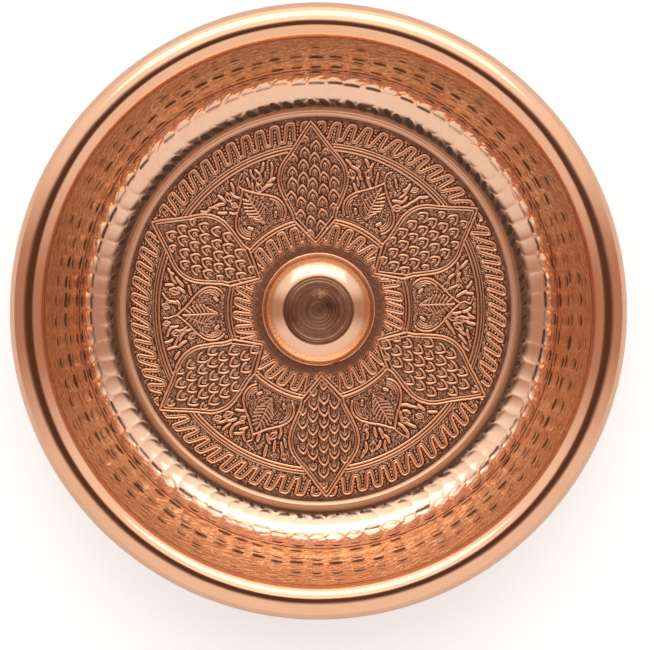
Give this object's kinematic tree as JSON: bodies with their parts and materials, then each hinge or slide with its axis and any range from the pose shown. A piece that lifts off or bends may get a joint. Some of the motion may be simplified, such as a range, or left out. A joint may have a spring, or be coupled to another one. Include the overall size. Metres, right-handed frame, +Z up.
{
  "type": "hammered copper bowl",
  "caption": "Round hammered copper bath bowl with a steep wall, a thick rolled rim, an engraved flat floor and a raised hollow boss in its middle.",
  "frame": {"origin": "centre of the base's underside", "axes": "+Z up along the bowl's axis, towards its open side; the bowl is round, and +X runs between two petals of its engraving, which is turned a little from it"},
  "size_m": [0.2, 0.2, 0.04],
  "materials": {
    "shell_copper": "hammered and polished copper, with darker patina in the engraving",
    "boss_copper": "turned and polished copper",
    "braze_metal": "bright copper-coloured brazing metal",
    "iron_wire": "bare iron wire"
  },
  "bodies": {
    "root": {"bowl_shell": "shell_copper", "rim_wire": "iron_wire", "boss_cap": "boss_copper", "boss_braze": "braze_metal"}
  },
  "joints": []
}
